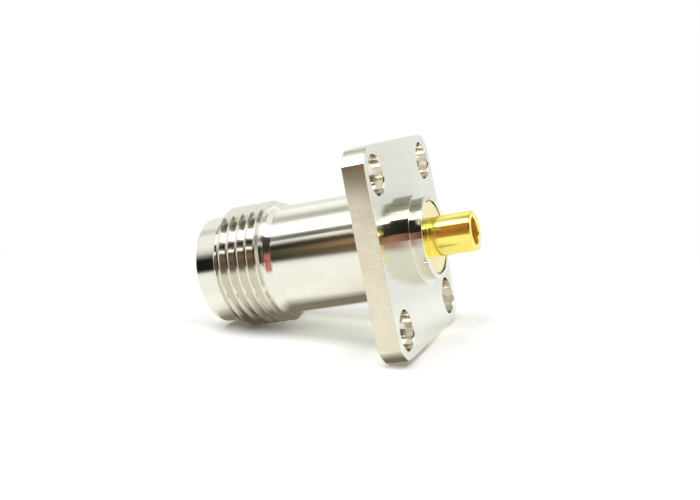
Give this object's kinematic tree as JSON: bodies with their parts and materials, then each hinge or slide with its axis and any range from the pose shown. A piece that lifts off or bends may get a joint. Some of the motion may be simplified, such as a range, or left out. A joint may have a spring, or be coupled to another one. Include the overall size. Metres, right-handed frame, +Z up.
{
  "type": "tnc connector jack",
  "caption": "Threaded coaxial panel jack: turned body with a square drilled flange, insulated slotted socket contact and a rear solder sleeve for semi-rigid cable.",
  "frame": {"origin": "centre of the flange's rear face, on the connector's axis", "axes": "+X along the axis towards the solder sleeve, the threaded mouth faces -X; +Z up, square to the flange's side"},
  "size_m": [0.0244, 0.0176, 0.0176],
  "materials": {
    "body_metal": "turned bright on the round surfaces, brushed on the flange",
    "ptfe": "white PTFE, machined",
    "contact_gold": "gold plated",
    "sleeve_gold": "gold plated, bright"
  },
  "bodies": {
    "root": {"flange_body": "body_metal", "front_insulator": "ptfe", "rear_insulator": "ptfe", "centre_contact": "contact_gold", "solder_sleeve": "sleeve_gold"}
  },
  "joints": []
}
